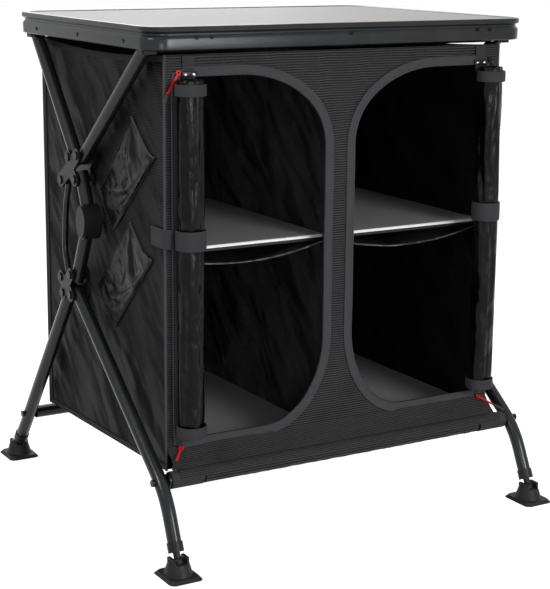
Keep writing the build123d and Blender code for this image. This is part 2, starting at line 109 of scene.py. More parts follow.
def gridPiece(name, across, down, spot, closed=False):
    # spot(u, v) gives the point for u and v from 0 to 1
    columns = across if closed else across + 1
    points = [spot(i / across, j / down) for j in range(down + 1) for i in range(columns)]
    return meshPiece(name, points, gridFaces(down + 1, columns, closed))


def walk(spot, steps, shift=(0, 0, 0)):
    # points along the line that spot(share) gives, moved by the shift
    return [Vector(spot(i / steps)) + Vector(shift) for i in range(steps + 1)]


def applyAll(piece):
    makeActive(piece)
    for modifier in list(piece.modifiers):
        bpy.ops.object.modifier_apply(modifier=modifier.name)


def outwards(piece):
    editWhole(piece)
    bpy.ops.mesh.normals_make_consistent(inside=False)
    leaveEdit()


def smoothShade(piece, angle=40.0):
    makeActive(piece)
    bpy.ops.object.shade_smooth_by_angle(angle=radians(angle))


def thicken(piece, thickness, rounds=0, angle=40.0):
    solid = piece.modifiers.new("thickness", "SOLIDIFY")
    solid.thickness = thickness
    solid.offset = 0.0
    if rounds:
        piece.modifiers.new("rounding", "SUBSURF").levels = rounds
    applyAll(piece)
    smoothShade(piece, angle)


def join(pieces, name):
    deselectAll()
    for piece in pieces:
        piece.select_set(True)
    bpy.context.view_layer.objects.active = pieces[0]
    bpy.ops.object.join()
    pieces[0].name = name
    return pieces[0]


def joinSmooth(pieces, name, angle=40.0):
    piece = join(pieces, name)
    smoothShade(piece, angle)
    return piece


def dress(piece, material):
    piece.data.materials.clear()
    piece.data.materials.append(material)


def finish(piece, material, body, squashed=False):
    dress(piece, material)
    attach(piece, body)
    if squashed:
        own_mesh(piece)
    return piece


def settle(piece, held, spareAt, form, pull=0.0):
    # a short cloth run, for a sheet cut larger than its place by spareAt(index, place)
    makeActive(piece)
    group = piece.vertex_groups.new(name="held")
    group.add(held, 1.0, "REPLACE")
    piece.shape_key_add(name="Basis")
    key = piece.shape_key_add(name="cut")
    for index, vertex in enumerate(piece.data.vertices):
        key.data[index].co = [a + b for a, b in zip(vertex.co, spareAt(index, vertex.co))]
    modifier = piece.modifiers.new("cloth", "CLOTH")
    settings = modifier.settings
    settings.quality = 6
    settings.mass = 0.15
    settings.tension_stiffness = 20.0
    settings.compression_stiffness = 20.0
    settings.shear_stiffness = 8.0
    settings.bending_stiffness = form["bending"]
    settings.air_damping = 2.0
    settings.vertex_group_mass = "held"
    settings.rest_shape_key = key
    settings.effector_weights.gravity = pull
    modifier.collision_settings.use_collision = False
    modifier.point_cache.frame_start = 1
    modifier.point_cache.frame_end = form["frames"]
    scene = bpy.context.scene
    for step in range(1, form["frames"] + 1):
        scene.frame_set(step)
    made = piece.evaluated_get(bpy.context.evaluated_depsgraph_get())
    places = [vertex.co.copy() for vertex in made.data.vertices]
    piece.modifiers.remove(modifier)
    piece.shape_key_clear()
    for vertex, place in zip(piece.data.vertices, places):
        vertex.co = place
    piece.vertex_groups.clear()
    piece.data.update()
    scene.frame_set(1)


def border(across, down):
    # the outer vertices of a grid piece
    return [
        j * (across + 1) + i for j in range(down + 1) for i in range(across + 1)
        if i in (0, across) or j in (0, down)
    ]


def softLimit(value, low, high):
    # value, held smoothly between low, which is negative, and high
    if value > 0:
        return high * tanh(value / high)
    return low * tanh(value / low)


def ripple(point, size, seed=0.0):
    return noise.noise(Vector((point[0] / size + seed, point[1] / size - seed, point[2] / size + 2 * seed)))


def ridge(a, b, start, end, width, height):
    # a soft fold along the line from start to end in the sheet's own two directions
    ax, ay = start
    dx, dy = end[0] - ax, end[1] - ay
    length = hypot(dx, dy)
    along = ((a - ax) * dx + (b - ay) * dy) / length
    off = ((a - ax) * dy - (b - ay) * dx) / length
    rise = max(0.0, min(1.0, along / (0.15 * length)))
    fall = max(0.0, min(1.0, (length - along) / (0.3 * length)))
    return height * (rise * fall) * exp(-(off / width) ** 2)


# materials

def newMaterial(name):
    material = bpy.data.materials.new(name)
    material.use_nodes = True
    where = material.node_tree.nodes.new("ShaderNodeTexCoord")
    return material, where.outputs["Object"]


def setInputs(node, inputs):
    # each input takes a link from another node's output, or a constant
    for name, source in inputs.items():
        if isinstance(source, bpy.types.NodeSocket):
            node.id_data.links.new(source, node.inputs[name])
        else:
            node.inputs[name].default_value = source


def addNode(kind, near, inputs):
    # a node in the tree that the socket near belongs to
    node = near.id_data.nodes.new(kind)
    setInputs(node, inputs)
    return node


def noiseNode(where, scale, detail=3.0, roughness=0.55):
    inputs = {"Scale": scale, "Detail": detail, "Roughness": roughness, "Vector": where}
    return addNode("ShaderNodeTexNoise", where, inputs).outputs["Fac"]


def rampNode(fac, stops):
    ramp = addNode("ShaderNodeValToRGB", fac, {"Fac": fac})
    elements = ramp.color_ramp.elements
    for element, (place, colour) in zip(elements, stops):
        element.position = place
        element.color = (*colour, 1.0)
    return ramp.outputs["Color"]


def rangeNode(value, toLow, toHigh, fromLow=0.3, fromHigh=0.7):
    # most of a noise lies between 0.3 and 0.7
    inputs = {"From Min": fromLow, "From Max": fromHigh, "To Min": toLow, "To Max": toHigh, "Value": value}
    return addNode("ShaderNodeMapRange", value, inputs).outputs["Result"]


def bumpNode(height, strength, distance, below=None):
    inputs = {"Strength": strength, "Distance": distance, "Height": height}
    if below:
        inputs["Normal"] = below
    return addNode("ShaderNodeBump", height, inputs).outputs["Normal"]


def waveNode(where, axis, pitch, distortion=0.0):
    inputs = {"Scale": pi / (10.0 * pitch), "Distortion": distortion, "Detail": 1.0, "Vector": where}
    wave = addNode("ShaderNodeTexWave", where, inputs)
    wave.bands_direction = axis
    return wave.outputs["Fac"]


def mixNode(factor, first, second, blend="MIX"):
    mix = first.id_data.nodes.new("ShaderNodeMix")
    mix.data_type = "RGBA"
    mix.blend_type = blend
    setInputs(mix, {"Factor": factor, "A": first, "B": second})
    return mix.outputs["Result"]


def turnNode(where, angles, stretch=1.0, kind="POINT"):
    inputs = {"Rotation": [radians(a) for a in angles], "Scale": (1.0, stretch, 1.0), "Vector": where}
    turned = addNode("ShaderNodeMapping", where, inputs)
    turned.vector_type = kind
    return turned.outputs["Vector"]


def creaseNode(where, scale, stretch):
    # creases that run slanting down from the rear and from the sides
    turned = turnNode(where, (48.0, 32.0, 0.0), stretch, "TEXTURE")
    return noiseNode(turned, scale, detail=2.2, roughness=0.45)


def twoShades(fac, colour, darker, lighter):
    return rampNode(fac, ((0.3, [darker * c for c in colour]), (0.7, [lighter * c for c in colour])))


def setSurface(material, colour, roughness, normal, shine, metallic=0.0):
    setInputs(material.node_tree.nodes["Principled BSDF"], {
        "Base Color": colour, "Roughness": roughness, "Normal": normal, "Specular IOR Level": shine,
        "Metallic": metallic,
    })
    return material


def coatedMetal(name, colour, roughness, metallic, grain=900.0, coat=0.0, shine=0.16):
    material, where = newMaterial(name)
    shades = twoShades(noiseNode(where, 14.0), colour, 0.82, 1.15)
    fine = noiseNode(where, grain, 2.0)
    spread = rangeNode(fine, roughness - 0.05, roughness + 0.07)
    lacquer = {"Coat Weight": coat, "Coat Roughness": 0.15}
    setInputs(material.node_tree.nodes["Principled BSDF"], lacquer)
    return setSurface(material, shades, spread, bumpNode(fine, 0.18, 0.0004), shine, metallic)


def plastic(name, colour, roughness, grain=700.0):
    material, where = newMaterial(name)
    shades = twoShades(noiseNode(where, 30.0), colour, 0.8, 1.2)
    fine = noiseNode(where, grain, 3.0)
    spread = rangeNode(fine, roughness - 0.06, roughness + 0.08)
    return setSurface(material, shades, spread, bumpNode(fine, 0.3, 0.0003), shine=0.18)


def ribbedCloth(name, dark, light, pitch, roughness=0.58, ribs="Z", crease=1.0, shine=0.07, lean=0.0):
    # fine ribs across the cloth, with a plain weave between them and slow shade changes
    material, where = newMaterial(name)
    rib = waveNode(turnNode(where, (lean, 0.0, 0.0)), ribs, pitch, distortion=0.15)
    ribShade = rampNode(rib, ((0.25, dark), (0.85, light)))
    speck = noiseNode(where, 420.0, 2.0)
    speckShade = rampNode(speck, ((0.3, (0.45, 0.45, 0.46)), (0.7, (1.3, 1.3, 1.32))))
    spread = rangeNode(noiseNode(where, 9.0), roughness - 0.08, roughness + 0.06)
    weave = bumpNode(waveNode(where, "X", pitch=0.0016), strength=0.25, distance=0.0003)
    creases = bumpNode(creaseNode(where, 13.0, 4.0), strength=1.0, distance=0.035 * crease, below=weave)
    relief = bumpNode(rib, strength=0.45, distance=0.0006, below=creases)
    return setSurface(material, mixNode(0.6, ribShade, speckShade, "MULTIPLY"), spread, relief, shine)


def satinNylon(name, dark, light, roughness):
    material, where = newMaterial(name)
    shades = rampNode(noiseNode(where, 11.0), ((0.3, dark), (0.75, light)))
    creases = creaseNode(where, 22.0, 2.2)
    spread = rangeNode(creases, roughness - 0.07, roughness + 0.1)
    weave = bumpNode(waveNode(where, "Z", pitch=0.0008), strength=0.2, distance=0.0002)
    relief = bumpNode(creases, strength=1.0, distance=0.012, below=weave)
    return setSurface(material, shades, spread, relief, shine=0.12)


def wovenTape(name, dark, light):
    material, where = newMaterial(name)
    twill = waveNode(turnNode(where, (35.0, 45.0, 20.0)), "X", pitch=0.0014)
    shades = rampNode(twill, ((0.2, dark), (0.8, light)))
    spread = rangeNode(noiseNode(where, 500.0, 2.0), 0.55, 0.8)
    return setSurface(material, shades, spread, bumpNode(twill, 0.5, 0.0005), shine=0.12)


def splitColour(name, axis, split, below, above, roughness, metallic=0.0, shine=0.25, paintedShadeBelow=None):
    # one finish below a height or depth and another above it; the last argument paints shade, turning the
    # first finish dark below a given height, where shade falls under a shelf
    material, where = newMaterial(name)
    parts = addNode("ShaderNodeSeparateXYZ", where, {"Vector": where})

    def stepAt(direction, place, blur):
        return rangeNode(parts.outputs[direction], 0.0, 1.0, place - blur, place + blur)

    side = stepAt(axis, split, 0.0004)
    if paintedShadeBelow:
        height, footColour = paintedShadeBelow
        # painted shade: below the height the first finish turns to the near-black shade colour
        foot = rampNode(stepAt("Z", height, 0.0003), ((0.0, footColour), (1.0, below)))
        base = mixNode(side, foot, (*above, 1.0))
    else:
        base = rampNode(side, ((0.0, below), (1.0, above)))
    fine = noiseNode(where, 260.0, 3.0)
    grain = rampNode(fine, ((0.3, (0.86, 0.86, 0.86)), (0.7, (1.0, 1.0, 1.0))))
    spread = rangeNode(fine, roughness - 0.06, roughness + 0.06)
    shades = mixNode(0.5, base, grain, "MULTIPLY")
    return setSurface(material, shades, spread, bumpNode(fine, 0.12, 0.0003), shine, metallic)


frameCoat = coatedMetal("frameCoat", (0.019, 0.02, 0.021), 0.22, 0.5, 900.0, 0.08, shine=0.2)
hubCoat = coatedMetal("hubCoat", (0.01, 0.01, 0.0115), 0.36, 0.15, 600.0)
rimCoat = coatedMetal("rimCoat", (0.023, 0.025, 0.026), 0.22, 0.42, 1200.0, 0.05)
screwBlack = coatedMetal("screwBlack", (0.006, 0.006, 0.007), 0.35, 0.4, 700.0, shine=0.1)
pinSteel = coatedMetal("pinSteel", (0.014, 0.014, 0.015), 0.3, 0.5, 800.0)
rivetSteel = coatedMetal("rivetSteel", (0.42, 0.42, 0.44), 0.25, 1.0, 800.0)
blackMoulding = plastic("blackMoulding", (0.008, 0.008, 0.009), 0.42)
footMoulding = plastic("footMoulding", (0.01, 0.01, 0.011), 0.5, 450.0)
zipBlack = plastic("zipBlack", (0.007, 0.007, 0.008), 0.3)
laminateSkin = splitColour(
    "laminateSkin", "Z", 0.8176, (0.25, 0.24, 0.23), (0.325, 0.315, 0.308), 0.5, shine=0.03,
)
# painted shade: the boards' white front edge turns near black below the shelf's height, standing in for shade
# under the shelf
shelfSkin = splitColour(
    "shelfSkin", "Y", -0.1984, (0.8, 0.8, 0.8), (0.44, 0.44, 0.45), 0.36, 0.25,
    paintedShadeBelow=(0.4736, (0.012, 0.012, 0.013)),
)
pullTop = splitColour("pullTop", "Z", 0.7215, (0.022, 0.014, 0.014), (0.6, 0.008, 0.012), 0.45)
pullLow = splitColour("pullLow", "Y", -0.2622, (0.022, 0.014, 0.014), (0.6, 0.008, 0.012), 0.45)
sideCloth = ribbedCloth("sideCloth", (0.002, 0.0018, 0.0019), (0.0135, 0.0128, 0.013), 0.0042, crease=1.5)
frontCloth = ribbedCloth(
    "frontCloth", (0.011, 0.0105, 0.011), (0.048, 0.047, 0.048), 0.003, crease=0.6, lean=40.0,
)
# painted light: the inner cloth gets a lighter colour than the same black cloth outside, standing in for
# light inside the compartments
innerClothPaintedLight = ribbedCloth(
    "innerClothPaintedLight", (0.028, 0.028, 0.029), (0.06, 0.06, 0.062), 0.003, 0.36, crease=1.8, shine=0.45,
)
floorClothSkin = ribbedCloth("floorClothSkin", (0.008, 0.008, 0.009), (0.02, 0.02, 0.021), 0.003, ribs="Y")
rollNylon = satinNylon("rollNylon", (0.0008, 0.0008, 0.0009), (0.0022, 0.0022, 0.0022), 0.24)
pocketNylon = satinNylon("pocketNylon", (0.0014, 0.0013, 0.0014), (0.0042, 0.004, 0.0041), 0.26)
strapTape = wovenTape("strapTape", (0.02, 0.02, 0.023), (0.046, 0.047, 0.051))
trimTape = wovenTape("trimTape", (0.026, 0.026, 0.028), (0.074, 0.074, 0.08))
hemTape = wovenTape("hemTape", (0.0045, 0.0045, 0.0048), (0.013, 0.013, 0.0135))
pipingTape = wovenTape("pipingTape", (0.032, 0.032, 0.036), (0.078, 0.079, 0.088))
print("materials done")

# the carried-over nodes, by the start of their names, a later row wins
nodeFinish = (
    (laminateSkin, ("top_panel",)),
    (screwBlack, ("rim_screws",)),
    (pinSteel, ("hub_pins", "front_bar_bolts", "rear_bar_bolts")),
    (hubCoat, ("upper_hub_plates", "lower_hub_plates")),
    (blackMoulding, ("knee_joint", "lock_button", "rear_top_fittings", "front_top_fittings", "foot_stems")),
    (footMoulding, ("foot_pad",)),
    (shelfSkin, ("shelf_board", "floor_board")),
    (pullTop, ("zip_pull_top",)),
    (pullLow, ("zip_pull_bottom",)),
    (zipBlack, ("zip_sliders", "zip_pull_top_right")),
)
for nodeName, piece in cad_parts.items():
    chosen = frameCoat
    for material, starts in nodeFinish:
        if nodeName.startswith(starts):
            chosen = material
    dress(piece, chosen)
print("frame finishes done")

# the rim: a rounded rectangle drawn up its profile, as height and inset from the outside
rim = {
    "size": (0.697, 0.522), "corner": 0.036,
    "profile": (
        (0.785, 0.003), (0.7862, 0.0016), (0.8012, 0.0012), (0.804, 0.0022), (0.8066, 0.0042),
        (0.8092, 0.0042), (0.8112, 0.0018), (0.8126, 0.0004), (0.818, 0.0), (0.8195, 0.001),
        (0.82, 0.0028), (0.8198, 0.005), (0.8187, 0.0066), (0.786, 0.0068), (0.785, 0.0056),
    ),
    "segments": 14,
}


def makeRim():
    # a rectangle with bevelled corners, whose outline is extruded and resized up the profile
    width, depth = rim["size"]
    profile = rim["profile"]
    firstZ, firstInset = profile[0]
    bpy.ops.mesh.primitive_plane_add(size=1.0, location=(0.0, 0.0, 0.0))
    piece = bpy.context.object
    piece.name = "topRim"
    piece.data.name = "topRim"
    editWhole(piece)
    across, along = width - 2 * firstInset, depth - 2 * firstInset
    bpy.ops.transform.resize(value=(across, along, 1.0))
    bpy.ops.transform.translate(value=(0.0, 0.0, firstZ))
    bpy.ops.mesh.bevel(offset=rim["corner"], segments=rim["segments"], affect="VERTICES")
    bpy.ops.mesh.select_all(action="SELECT")
    bpy.ops.mesh.delete(type="ONLY_FACE")
    bpy.ops.mesh.select_all(action="SELECT")
    lastZ = firstZ
    for z, inset in profile[1:]:
        nextAcross, nextAlong = width - 2 * inset, depth - 2 * inset
        bpy.ops.mesh.extrude_edges_move(TRANSFORM_OT_translate={"value": (0.0, 0.0, z - lastZ)})
        bpy.ops.transform.resize(value=(nextAcross / across, nextAlong / along, 1.0))
        across, along, lastZ = nextAcross, nextAlong, z
    bpy.ops.mesh.select_all(action="DESELECT")
    bpy.ops.mesh.select_mode(type="EDGE")
    bpy.ops.mesh.select_non_manifold()
    bpy.ops.mesh.bridge_edge_loops()
    bpy.ops.mesh.select_mode(type="VERT")
    leaveEdit()
    outwards(piece)
    smoothShade(piece, 35.0)
    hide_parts("top_rim")
    finish(piece, rimCoat, "worktop")


makeRim()
print("rim done")

# the cloth cabinet, sizes in metres
cabinet = {
    "halfWidth": 0.3103, "halfDepth": 0.2328, "top": 0.777, "middleZ": 0.45, "thickness": 0.0013,
    "spare": 0.055, "bending": 0.25, "frames": 26,
}
# the side panels, bottom corners as depth and height, folds as start, end, width and height
sidePanel = {
    "sag": 0.009, "rearBottom": (0.237, 0.122), "frontBottom": (-0.231, 0.134), "grid": (58, 78),
    "folds": (
        ((0.215, 0.745), (-0.02, 0.6), 0.01, 0.0022),
        ((0.19, 0.705), (-0.06, 0.56), 0.008, -0.0018),
        ((0.225, 0.64), (0.02, 0.5), 0.012, 0.002),
        ((0.2, 0.56), (0.03, 0.42), 0.01, -0.0018),
        ((-0.215, 0.745), (-0.1, 0.58), 0.009, 0.0016),
        ((0.23, 0.18), (0.06, 0.33), 0.012, 0.0022),
        ((0.15, 0.13), (0.02, 0.27), 0.01, -0.0016),
        ((-0.225, 0.16), (-0.05, 0.3), 0.01, 0.0018),
        ((-0.12, 0.15), (-0.14, 0.4), 0.012, 0.0014),
    ),
    "foldLimit": 0.004, "inward": 0.005, "inwardAtShelf": 0.0015, "outward": 0.0012,
    "shelf": (0.473, 0.03), "hemPlaces": (0.008, 0.992), "hemWidth": 0.009, "rearHemPlace": 0.985,
    "rearHemWidth": 0.01, "piping": 0.0022, "pipingLift": 0.0004,
}
# tape sewn along the edges of a sheet, and how far it lies outside the sheet's middle
hemForm = {"thickness": 0.0012, "lift": 0.0013}


def leanSpare(index, place):
    # spare along one diagonal, so that the sheet creases along the other
    spare = cabinet["spare"] * ((place.z - cabinet["middleZ"]) - place.y) / 2
    return (0.0, -spare, spare)


def backSpare(index, place):
    # spare towards both sides and the foot
    spare = cabinet["spare"] * (abs(place.x) - (place.z - cabinet["middleZ"])) / 2
    return (spare if place.x > 0 else -spare, 0.0, -spare)


def settledSheet(name, grid, spot, spareAt, axis, middle, limitsAt):
    # a sheet that settles between its sewn edges, held within limits along one axis
    sheet = gridPiece(name, *grid, spot)
    settle(sheet, border(*grid), spareAt, cabinet)
    for vertex in sheet.data.vertices:
        off = softLimit(vertex.co[axis] - middle, *limitsAt(vertex.co.z))
        vertex.co[axis] = middle + off
    thicken(sheet, cabinet["thickness"], 1)
    return sheet


def sidePoint(sign, u, v):
    # u runs from the front to the rear, v from the top to the bottom
    topY = cabinet["halfDepth"] * (2 * u - 1)
    topZ = cabinet["top"] - sidePanel["sag"] * (1 - (2 * u - 1) ** 2)
    (rearY, rearZ), (frontY, frontZ) = sidePanel["rearBottom"], sidePanel["frontBottom"]
    lowY = frontY + (rearY - frontY) * u
    lowZ = frontZ + (rearZ - frontZ) * u
    y = topY + (lowY - topY) * v
    z = topZ + (lowZ - topZ) * v
    edge = min(1.0, 8 * u, 8 * (1 - u), 10 * v, 10 * (1 - v))
    bulge = sum(ridge(y, z, *fold) for fold in sidePanel["folds"])
    bulge += 0.0011 * ripple((y, z, sign), 0.07) + 0.0006 * ripple((y, z, sign), 0.028, 3.0)
    out = max(-sidePanel["foldLimit"], min(sidePanel["foldLimit"], edge * bulge))
    return (sign * (cabinet["halfWidth"] + out), y, z)


def strip(name, path, width, thickness, sideways):
    # a flat tape along a path, whose width lies in the direction sideways
    across = Vector(sideways).normalized() * (width / 2)
    points, faces = [], []
    for point in path:
        points.append(Vector(point) - across)
        points.append(Vector(point) + across)
    for i in range(len(path) - 1):
        faces.append((2 * i, 2 * i + 1, 2 * i + 3, 2 * i + 2))
    piece = meshPiece(name, points, faces)
    thicken(piece, thickness)
    return piece


def stripPair(name, path, width, thickness, sideways):
    # one strip on the right and its mirror on the left
    pair = []
    for sign in (-1, 1):
        pair.append(strip(name, [(sign * x, y, z) for x, y, z in path], width, thickness, sideways))
    return joinSmooth(pair, name)


def roundCord(name, path, radius, sides=10):
    points = []
    for i, point in enumerate(path):
        ahead = Vector(path[min(i + 1, len(path) - 1)]) - Vector(path[max(i - 1, 0)])
        ahead.normalize()
        side = ahead.cross(Vector((0.3, 0.7, 0.2))).normalized()
        up = ahead.cross(side)
        for k in range(sides):
            angle = 2 * pi * k / sides
            points.append(Vector(point) + radius * (cos(angle) * side + sin(angle) * up))
    faces = gridFaces(len(path), sides, closed=True)
    faces.append(tuple(range(sides)))
    faces.append(tuple((len(path) - 1) * sides + k for k in reversed(range(sides))))
    piece = meshPiece(name, points, faces)
    outwards(piece)
    smoothShade(piece)
    return piece


def makeSide(sign, side):
    shelfZ, shelfReach = sidePanel["shelf"]

    def limitsAt(z):
        inward = sidePanel["inwardAtShelf"] if abs(z - shelfZ) < shelfReach else sidePanel["inward"]
        return (-inward, sidePanel["outward"]) if sign > 0 else (-sidePanel["outward"], inward)

    piece = settledSheet(
        "sidePanel" + side, sidePanel["grid"], lambda u, v: sidePoint(sign, u, v), leanSpare,
        0, sign * cabinet["halfWidth"], limitsAt,
    )
    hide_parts("side_panel_" + side.lower())
    tape = hemForm["thickness"]
    lift = (sign * hemForm["lift"], 0, 0)
    hems = []
    for v in sidePanel["hemPlaces"]:
        path = walk(lambda u: sidePoint(sign, u, v), 40, lift)
        hems.append(strip("hem", path, sidePanel["hemWidth"], tape, (0, 0, 1)))
    path = walk(lambda v: sidePoint(sign, sidePanel["rearHemPlace"], v), 50, lift)
    hems.append(strip("hem", path, sidePanel["rearHemWidth"], tape, (0, 1, 0)))
    hem = finish(joinSmooth(hems, "sideHems" + side), hemTape, "cabinet", True)
    corners = []
    for u in (0.0, 1.0):
        path = walk(lambda v: sidePoint(sign, u, v), 40, (sign * sidePanel["pipingLift"], 0, 0))
        corners.append(roundCord("piping", path, sidePanel["piping"]))
    piping = finish(join(corners, "cornerPiping" + side), pipingTape, "cabinet", True)
    finish(piece, sideCloth, "cabinet", True)


makeSide(-1, "Left")
makeSide(1, "Right")
print("side panels done")

# the front: two door openings, a tape round each, and an apron that leans out to the bar
front = {
    "y": -0.2328, "halfWidth": 0.3095, "top": 0.777, "bottom": 0.168, "inner": 0.027,
    "outer": 0.286, "openTop": 0.745, "openBottom": 0.181, "upperCorner": (0.155, 0.115),
    "lowerCorner": (0.105, 0.14), "straight": 17, "rings": 9, "crowding": 1.3,
    "folds": (
        ((-0.3, 0.77), (-0.16, 0.752), 0.006, 0.0016),
        ((0.3, 0.768), (0.17, 0.755), 0.006, 0.0016),
        ((-0.05, 0.775), (-0.01, 0.6), 0.008, 0.0014),
        ((0.05, 0.775), (0.012, 0.62), 0.008, -0.0012),
        ((0.0, 0.19), (0.01, 0.4), 0.009, 0.0014),
    ),
    "foldLimits": (-0.002, 0.0015),
}
# the tape round an opening, its section as distance from the edge and rise off the cloth
trim = {
    "section": ((-0.0004, 0.0012), (0.0005, 0.0019), (0.013, 0.0019), (0.014, 0.001)),
    "thickness": 0.0009, "teeth": 0.0016, "cord": 0.0013,
}
# the apron, wrapped round the bar from one angle to the other
apronForm = {
    "top": 0.172, "bar": (-0.2657, 0.131), "wrap": 0.0142, "angles": (70.0, 165.0), "slope": 0.6,
    "sag": 0.0016, "folds": 0.0012, "grid": (120, 20),
}


def openingLoop():
    # the outline of the right opening, as width and height, walked one way round
    inner, outer = front["inner"], front["outer"]
    high, low = front["openTop"], front["openBottom"]
    (ux, uz), (lx, lz) = front["upperCorner"], front["lowerCorner"]

    def line(start, end, count):
        return [[a + (b - a) * i / count for a, b in zip(start, end)] for i in range(count)]

    def corner(x, z, wide, tall, start):
        angles = [start - pi / 2 * i / 24 for i in range(24)]
        return [(x + wide * cos(angle), z + tall * sin(angle)) for angle in angles]

    points = line((outer, high), (outer, low), front["straight"])
    points += line((outer, low), (inner + lx, low), 12)
    points += corner(inner + lx, low + lz, lx, lz, -pi / 2)
    points += line((inner, low + lz), (inner, high - uz), 12)
    points += corner(inner + ux, high - uz, ux, uz, pi)
    points += line((inner + ux, high), (outer, high), 8)
    return points


def openingMiddle():
    return (front["inner"] + front["outer"]) / 2, (front["openTop"] + front["openBottom"]) / 2


def frameLoop(loop):
    # where a ray from the opening's middle through each outline point leaves the half panel
    middleX, middleZ = openingMiddle()
    reach = []
    for x, z in loop:
        dx, dz = x - middleX, z - middleZ
        steps = []
        if abs(dx) > 1e-9:
            steps.append(((front["halfWidth"] if dx > 0 else 0.0) - middleX) / dx)
        if abs(dz) > 1e-9:
            steps.append(((front["top"] if dz > 0 else front["bottom"]) - middleZ) / dz)
        reach.append([middleX + dx * min(steps), middleZ + dz * min(steps)])
    for x in (0.0, front["halfWidth"]):
        for z in (front["bottom"], front["top"]):
            nearest = min(range(len(reach)), key=lambda i: hypot(reach[i][0] - x, reach[i][1] - z))
            reach[nearest] = [x, z]
    return reach


def frontDepth(x, z):
    low, high = front["foldLimits"]
    slack = 0.001 * ripple((x, z, 0.0), 0.06) + 0.0006 * ripple((x, z, 1.0), 0.02, 5.0)
    slack = sum((ridge(x, z, *fold) for fold in front["folds"]), slack)
    return front["y"] + max(low, min(high, slack))


def makeFrontSheet(loop):
    reach = frameLoop(loop)
    rings = front["rings"]
    halves = []
    for sign in (-1, 1):
        points = []
        for j in range(rings + 1):
            share = (j / rings) ** front["crowding"]
            for (ax, az), (bx, bz) in zip(loop, reach):
                x, z = sign * (ax + (bx - ax) * share), az + (bz - az) * share
                points.append((x, frontDepth(x, z), z))
        halves.append(meshPiece("half", points, gridFaces(rings + 1, len(loop), closed=True)))
    panel = join(halves, "frontPanel")
    editWhole(panel)
    bpy.ops.mesh.remove_doubles(threshold=0.0002)
    bpy.ops.mesh.normals_make_consistent(inside=False)
    leaveEdit()
    thicken(panel, cabinet["thickness"])
    return panel


def trimPoints(loop, sign):
    # the section of the tape at each point of the loop, drawn away from the opening
    middleX, middleZ = openingMiddle()
    points = []
    for i, (x, z) in enumerate(loop):
        before, after = loop[i - 1], loop[(i + 1) % len(loop)]
        dx, dz = after[0] - before[0], after[1] - before[1]
        length = hypot(dx, dz)
        awayX, awayZ = dz / length, -dx / length
        if (x - middleX) * awayX + (z - middleZ) * awayZ < 0:
            awayX, awayZ = -awayX, -awayZ
        for step, rise in trim["section"]:
            px, pz = sign * (x + awayX * step), z + awayZ * step
            points.append((px, frontDepth(px, pz) - rise, pz))
    return points


def makeTrim(loop):
    # tape, the two cords in it and the zip's teeth, round both openings
    tapes, teeth, cords = [], [], []
    count, wide = len(loop), len(trim["section"])
    for sign in (-1, 1):
        points = trimPoints(loop, sign)
        tapes.append(meshPiece("tape", points, bandFaces(count, wide)))
        path = [(sign * x, frontDepth(sign * x, z), z) for x, z in loop[front["straight"]:] + loop[:1]]
        teeth.append(roundCord("teeth", path, trim["teeth"], 8))
        for k in (1, 2):
            path = [points[wide * (i % count) + k] for i in range(count + 1)]
            cords.append(roundCord("cord", path, trim["cord"], 8))
    tape = join(tapes, "openingTape")
    outwards(tape)
    thicken(tape, trim["thickness"])
    finish(tape, trimTape, "front_cloth")
    tapeCords = finish(join(cords, "tapeCords"), pipingTape, "front_cloth")
    zipTeeth = finish(join(teeth, "zipTeeth"), zipBlack, "front_cloth")
    return [tape, tapeCords, zipTeeth]


def apronPoint(u, v):
    # down from the panel to the bar, then round the bar's top and front
    barY, barZ = apronForm["bar"]
    wrap, slope = apronForm["wrap"], apronForm["slope"]
    touch, last = (radians(angle) for angle in apronForm["angles"])
    x = front["halfWidth"] * (2 * u - 1)
    if v > slope:
        angle = touch + (last - touch) * (v - slope) / (1 - slope)
        return (x, barY + wrap * cos(angle), barZ + wrap * sin(angle))
    restY, restZ = barY + wrap * cos(touch), barZ + wrap * sin(touch)
    w = v / slope
    sag = apronForm["sag"] * sin(pi * w) * (1 + ripple((x, w, 0.0), 0.05))
    folds = apronForm["folds"] * sin(pi * w) * ripple((x, 0.0, 0.0), 0.012, 2.0)
    y = front["y"] + (restY - front["y"]) * w
    return (x, y, apronForm["top"] + (restZ - apronForm["top"]) * w - sag + folds)


def makeFront():
    loop = openingLoop()
    panel = makeFrontSheet(loop)
    tape, tapeCords, zipTeeth = makeTrim(loop)
    apron = gridPiece("frontApron", *apronForm["grid"], apronPoint)
    thicken(apron, cabinet["thickness"])
    panel = join([panel, apron], "frontPanel")
    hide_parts("front_panel")
    finish(panel, frontCloth, "front_cloth")
    (ux, uz), (lx, lz) = front["upperCorner"], front["lowerCorner"]
    openArea = (front["outer"] - front["inner"]) * (front["openTop"] - front["openBottom"])
    openArea -= (1 - pi / 4) * (ux * uz + lx * lz)


makeFront()
print("front panel done")

# back, divider, floor and shelf slings
backForm = {
    "y": 0.2328, "narrower": 0.997, "grid": (58, 60),
    "folds": (
        ((-0.29, 0.76), (-0.05, 0.6), 0.012, 0.002),
        ((0.29, 0.76), (0.06, 0.58), 0.012, 0.002),
        ((0.28, 0.17), (0.08, 0.34), 0.012, 0.0018),
        ((-0.28, 0.17), (-0.09, 0.33), 0.012, 0.0018),
    ),
    "foldLimits": (-0.002, 0.003), "limits": (-0.006, 0.004), "hemPlaces": (0.012, 0.988),
    "hemWidth": 0.016,
}
inside = {
    "bottom": 0.1376, "dividerTop": 0.768, "dividerGrid": (60, 56), "dividerFolds": 6,
    "dividerFold": 0.0035, "dividerLimit": 0.0048, "floorZ": 0.1368, "slingTop": 0.4679,
    "slingSag": 0.022, "slingHem": 0.0016, "halfDepth": 0.2321, "boardDepth": 0.2, "innerX": 0.005,
    "seam": 0.0002, "outerX": 0.3096,
}


